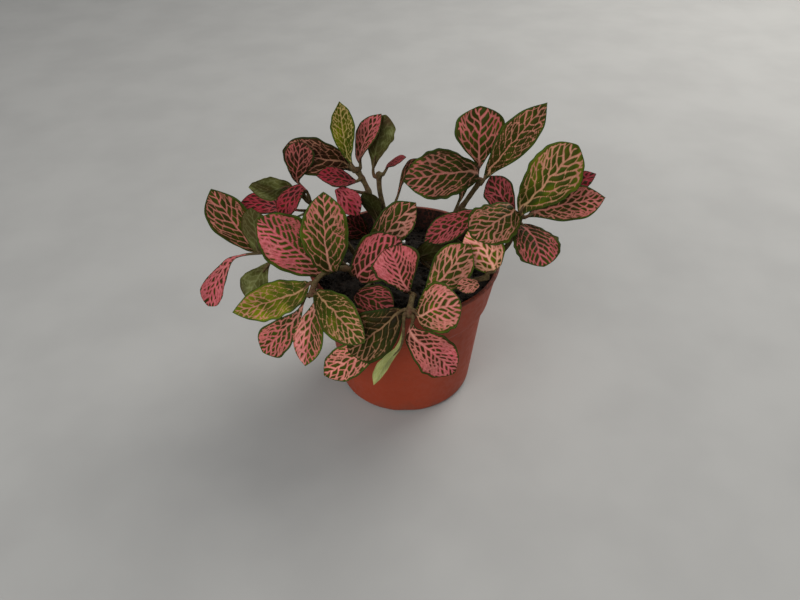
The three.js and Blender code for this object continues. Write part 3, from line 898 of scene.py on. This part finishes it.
def make_stem(node, leaves):
    points, links = welded(node)
    foot = np.argsort(points[:, 2])[:CAD_SIDES]
    middles = np.array([points[ring].mean(0) for ring in rings_from(foot, links)])
    along = lengths_along(middles)
    count = int(along[-1] / STEM_STEP) + 2
    even = np.linspace(0, along[-1], count)
    path = smoothed(between(even, along, middles), 3)
    radii = np.full(count, STEM_RADIUS)
    for leaf in leaves:
        joint = np.linalg.norm(path - curve(leaf.petiole, 0.0), axis=1).argmin()
        radii += SWELLING * np.exp(-(((even - even[joint]) / NODE_REACH) ** 2))
    radii = np.minimum(radii, STEM_RADIUS + MOST_SWELLING)
    rng = np.random.default_rng(len(node) + int(1e5 * abs(middles[-1, 0])))
    radii *= 1 + 0.03 * ripples(rng, 6 * MM)(path)
    from_end = np.minimum((even[-1] - even) / STEM_RADIUS, 1)
    radii *= np.sqrt(np.clip(1 - (1 - from_end) ** 2, 0.01, 1))  # a round end
    rings = tube(path, radii)
    piece = make_piece(node + "_look", rings.reshape(-1, 3), capped_faces(count, TUBE_SIDES), [STEM])
    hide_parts(node)


def make_plant():
    nodes = sorted(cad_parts)
    seeds = enumerate((node for node in nodes if node.startswith("leaf_")), FIRST_SEED)
    leaves = {node: make_leaf(node, seed) for seed, node in seeds}
    for node in nodes:
        if node.startswith("stem_"):
            own = node.replace("stem", "leaf")
            make_stem(node, [leaf for name, leaf in leaves.items() if name.rsplit("_", 1)[0] == own])


# ---- pot ----
POT_SEGMENTS = 180
pot_low, pot_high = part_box("pot")
POT_HEIGHT = pot_high[2]
RIM_RADIUS = (pot_high[0] - pot_low[0]) / 2
# Radii and heights of the pot's outer side, in metres.
BASE_RADIUS, BASE_ROUND = 33.2 * MM, 2.5 * MM
SHOULDER_RADIUS, SHOULDER_HEIGHT = 38.9 * MM, 49 * MM
COLLAR_RADIUS, COLLAR_HEIGHT = 41.5 * MM, 52.5 * MM
WALL, FLOOR, INSIDE_ROUND = 1.2 * MM, 1.6 * MM, 2 * MM
LIP, LIP_HEIGHT = 0.5 * MM, 1.4 * MM
DRAIN_COUNT, DRAIN_CIRCLE, DRAIN_RADIUS = 6, 22 * MM, 4 * MM
NOTCH_COUNT, NOTCH_WIDTH, NOTCH_HEIGHT, NOTCH_DEPTH = 6, 13 * MM, 1.8 * MM, 2.6 * MM


def rounded(corners, steps=5):
    """A profile with its corners rounded. Each corner is (radius, height, rounding)."""
    points = np.array([corner[:2] for corner in corners])
    made = []
    for i, (x, y, size) in enumerate(corners):
        if size == 0:
            made.append((x, y))
            continue
        here = points[i]
        back, on = points[i - 1] - here, points[i + 1] - here
        reach = min(size, 0.49 * np.linalg.norm(back), 0.49 * np.linalg.norm(on))
        start, end = here + unit(back) * reach, here + unit(on) * reach
        for t in np.linspace(0, 1, steps):
            made.append(tuple((1 - t) ** 2 * start + 2 * t * (1 - t) * here + t * t * end))
    return made


def lathe(profile, segments):
    """Points and faces of a profile of (radius, height) turned about Z, from axis to axis."""
    angles = round_angles(segments)
    ring = np.stack([np.cos(angles), np.sin(angles), np.zeros(segments)], -1)
    body = [ring * radius + (0, 0, height) for radius, height in profile[1:-1]]
    points = np.vstack([*body, [(0, 0, profile[0][1])], [(0, 0, profile[-1][1])]])
    faces = grid_faces(len(body), segments, closed=True)
    first, last = len(points) - 2, len(points) - 1
    top = (len(body) - 1) * segments
    for c in range(segments):
        after = (c + 1) % segments
        faces.append([first, after, c])
        faces.append([last, top + c, top + after])
    return points, faces


def ellipse(width, height, count):
    angles = round_angles(count)
    return np.stack([width * np.cos(angles), height * np.sin(angles)], -1)


def prism(outline, low, high):
    """Points and faces of an outline of (x, y) between two heights."""
    count = len(outline)
    points = [(x, y, z) for z in (low, high) for x, y in outline]
    faces = [[i, (i + 1) % count, count + (i + 1) % count, count + i] for i in range(count)]
    return np.array(points), [*faces, [*range(count)][::-1], [*range(count, 2 * count)]]


def cut(piece, cutters):
    """Cuts the cutters out of a piece."""
    for cutter in cutters:
        modifier = piece.modifiers.new("cut", "BOOLEAN")
        modifier.operation = "DIFFERENCE"
        modifier.solver = "EXACT"
        modifier.object = cutter
    graph = bpy.context.evaluated_depsgraph_get()
    mesh = bpy.data.meshes.new_from_object(piece.evaluated_get(graph))
    piece.modifiers.clear()
    piece.data = mesh
    for cutter in cutters:
        bpy.data.objects.remove(cutter)


def collar_radius(height):
    """Of the collar's outer side."""
    share = (height - COLLAR_HEIGHT) / (POT_HEIGHT - COLLAR_HEIGHT)
    return COLLAR_RADIUS + (RIM_RADIUS - LIP - COLLAR_RADIUS) * share


def pot_profile():
    under_lip = POT_HEIGHT - LIP_HEIGHT
    inner_floor = BASE_RADIUS - WALL - 2 * MM
    return rounded([
        (0, 0, 0),
        (BASE_RADIUS, 0, BASE_ROUND),
        (SHOULDER_RADIUS, SHOULDER_HEIGHT, 1.2 * MM),
        (COLLAR_RADIUS - 0.5 * MM, COLLAR_HEIGHT - 1.4 * MM, 1.3 * MM),
        (collar_radius(under_lip - LIP), under_lip - LIP, 0.3 * MM),
        (RIM_RADIUS, under_lip, 0.35 * MM),
        (RIM_RADIUS, POT_HEIGHT, 0.5 * MM),
        (collar_radius(POT_HEIGHT) - WALL, POT_HEIGHT, 0.4 * MM),
        (COLLAR_RADIUS - WALL, COLLAR_HEIGHT, INSIDE_ROUND),
        (SHOULDER_RADIUS - WALL, SHOULDER_HEIGHT, INSIDE_ROUND),
        (inner_floor + 1.6 * MM, FLOOR, INSIDE_ROUND),
        (0, FLOOR, 0),
    ])


def pot_holes():
    """The shapes that cut the drain holes and the slots in the foot."""
    holes = []
    for i in range(DRAIN_COUNT):
        angle = (i + 0.5) * 2 * math.pi / DRAIN_COUNT
        centre = DRAIN_CIRCLE * np.array([math.cos(angle), math.sin(angle)])
        outline = centre + ellipse(DRAIN_RADIUS, DRAIN_RADIUS, 32)
        holes.append(mesh_object("drain", *prism(outline, -MM, FLOOR + MM)))
    for i in range(NOTCH_COUNT):
        arch, faces = prism(ellipse(NOTCH_WIDTH / 2, NOTCH_HEIGHT, 48), -NOTCH_DEPTH, NOTCH_DEPTH)
        turn = Matrix.Rotation(i * 2 * math.pi / NOTCH_COUNT, 3, "Z")
        upright = turn @ Matrix.Rotation(math.pi / 2, 3, "X")
        at = np.array(turn @ Vector((0, -BASE_RADIUS, 0)))
        holes.append(mesh_object("notch", arch @ np.array(upright).T + at, faces))
    return holes


def is_inside(face):
    """Whether a face belongs to the pot's inner side."""
    middle = np.array(face.center)
    inward = np.dot(middle[:2], np.array(face.normal)[:2]) < 0
    between_floor_and_rim = FLOOR - 0.5 * MM < middle[2] < POT_HEIGHT - 0.3 * MM
    inside = np.hypot(*middle[:2]) < collar_radius(max(middle[2], COLLAR_HEIGHT)) - 0.5 * WALL
    return between_floor_and_rim and inside and (inward or face.normal.z > 0.7)


def make_pot():
    pot = mesh_object("pot_look", *lathe(pot_profile(), POT_SEGMENTS))
    cut(pot, pot_holes())
    pot.data.materials.clear()
    pot.data.materials.append(POT)
    pot.data.materials.append(POT_INSIDE)
    for face in pot.data.polygons:
        face.material_index = int(is_inside(face))
    pot.data.polygons.foreach_set("use_smooth", [True] * len(pot.data.polygons))
    pot.data.set_sharp_from_angle(angle=math.radians(35))
    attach(pot, "root")
    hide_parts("pot")


# ---- soil ----
SOIL_TOP, SOIL_CROWN = 60 * MM, 2.3 * MM
SOIL_RADIUS = collar_radius(SOIL_TOP) - WALL
SOIL_GAP = 0.2 * MM  # between its sides and the wall
SOIL_RINGS, SOIL_SEGMENTS = 70, 150
ROUGHNESS = ((9 * MM, 0.5 * MM), (3.2 * MM, 0.32 * MM), (1.3 * MM, 0.16 * MM))  # wavelengths and heights
CRUMBS, CRUMB_SIZES = 620, (0.5 * MM, 1.5 * MM)
UNEVENNESS, RISE = 0.28, 0.25  # of a grain's surface, and of its middle over the soil, in grain sizes
PERLITE_GRAINS, PERLITE_SIZES = 9, (0.8 * MM, 1.5 * MM)


def soil_height(x, y):
    share = np.hypot(x, y) / SOIL_RADIUS
    return SOIL_TOP + SOIL_CROWN * np.sqrt(np.clip(1 - share**2, 0, 1))


def lump(rng, size, detail):
    """Points and faces of one uneven grain about the origin."""
    bm = bmesh.new()
    bmesh.ops.create_icosphere(bm, subdivisions=detail, radius=1)
    points = np.array([v.co for v in bm.verts])
    faces = [[v.index for v in face.verts] for face in bm.faces]
    bm.free()
    points *= (1 + UNEVENNESS * ripples(rng, 1.6, 6)(points))[:, None]
    turn = np.array(Euler(rng.uniform(0, 6.28, 3)).to_matrix())
    return (points * rng.uniform(0.6, 1.2, 3)) @ turn.T * size, faces


def scatter(name, rng, count, sizes, detail, material):
    points, faces = [], []
    for _ in range(count):
        radius = (SOIL_RADIUS - sizes[1]) * math.sqrt(rng.uniform())
        angle = rng.uniform(0, 2 * math.pi)
        x, y = radius * math.cos(angle), radius * math.sin(angle)
        size = rng.uniform(*sizes)
        made, sides = lump(rng, size, detail)
        start = len(points)
        points.extend(made + (x, y, soil_height(x, y) + RISE * size))
        faces.extend([start + i for i in side] for side in sides)
    piece = make_piece(name, points, faces, [material])


def make_soil():
    rng = np.random.default_rng(5)
    rough = [(ripples(rng, wavelength, 12), height) for wavelength, height in ROUGHNESS]
    rings = []
    for radius in np.linspace(0.004, 1, SOIL_RINGS) * SOIL_RADIUS:
        flat = ellipse(radius, radius, SOIL_SEGMENTS)
        height = soil_height(*flat.T) + sum(height * wave(flat) for wave, height in rough)
        rings.append(np.column_stack([flat, height]))
    lower = [
        (COLLAR_RADIUS - WALL, COLLAR_HEIGHT + 1.2 * MM),
        (SHOULDER_RADIUS - WALL, SHOULDER_HEIGHT + 0.6 * MM),
        (BASE_RADIUS - WALL - 0.4 * MM, FLOOR + 3 * MM),
        (BASE_RADIUS - WALL - 3 * MM, FLOOR + 0.2 * MM),
        (0.5 * MM, FLOOR + 0.2 * MM),
    ]
    for radius, height in lower:
        flat = ellipse(radius - SOIL_GAP, radius - SOIL_GAP, SOIL_SEGMENTS)
        rings.append(np.column_stack([flat, np.full(SOIL_SEGMENTS, height)]))
    piece = make_piece("soil_look", np.vstack(rings), capped_faces(len(rings), SOIL_SEGMENTS), [SOIL])
    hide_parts("soil")
    scatter("soil_crumbs", rng, CRUMBS, CRUMB_SIZES, 1, SOIL)
    scatter("perlite_grains", rng, PERLITE_GRAINS, PERLITE_SIZES, 2, PERLITE)


# ---- studio ----
FLOOR_HALF = 2.5
LIT = (0, 0, 0.08)  # what the lights face
WINDOW = {"at": (0.6, 0.6, 0.75), "size": 0.8, "watts": 9.5, "colour": (1.0, 0.98, 0.95)}
FILL = {"at": (-0.45, -0.75, 0.65), "size": 0.9, "watts": 6, "colour": (1, 1, 1)}
SURROUNDINGS, SURROUNDINGS_STRENGTH = (0.95, 0.97, 1, 1), 0.35


def make_area_light(name, at, size, watts, colour):
    data = bpy.data.lights.new(name, "AREA")
    data.shape = "DISK"
    data.size = size
    data.energy = watts
    data.color = colour
    light = bpy.data.objects.new(name, data)
    light.location = at
    light.rotation_euler = (Vector(LIT) - Vector(at)).to_track_quat("-Z", "Y").to_euler()
    bpy.context.scene.collection.objects.link(light)


def make_studio():
    corners = [(x * FLOOR_HALF, y * FLOOR_HALF, 0) for x, y in ((-1, -1), (1, -1), (1, 1), (-1, 1))]
    floor = mesh_object("floor", corners, [(0, 1, 2, 3)])
    floor.data.materials.append(studio_floor())
    floor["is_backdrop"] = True
    make_area_light("window", **WINDOW)
    make_area_light("fill", **FILL)
    world = bpy.data.worlds.new("studio")
    world.use_nodes = True
    background = world.node_tree.nodes["Background"]
    background.inputs["Color"].default_value = SURROUNDINGS
    background.inputs["Strength"].default_value = SURROUNDINGS_STRENGTH
    bpy.context.scene.world = world


make_plant()
make_pot()
make_soil()
make_studio()

corners = [[list(corner) for corner in box] for box in (cad_box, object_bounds())]
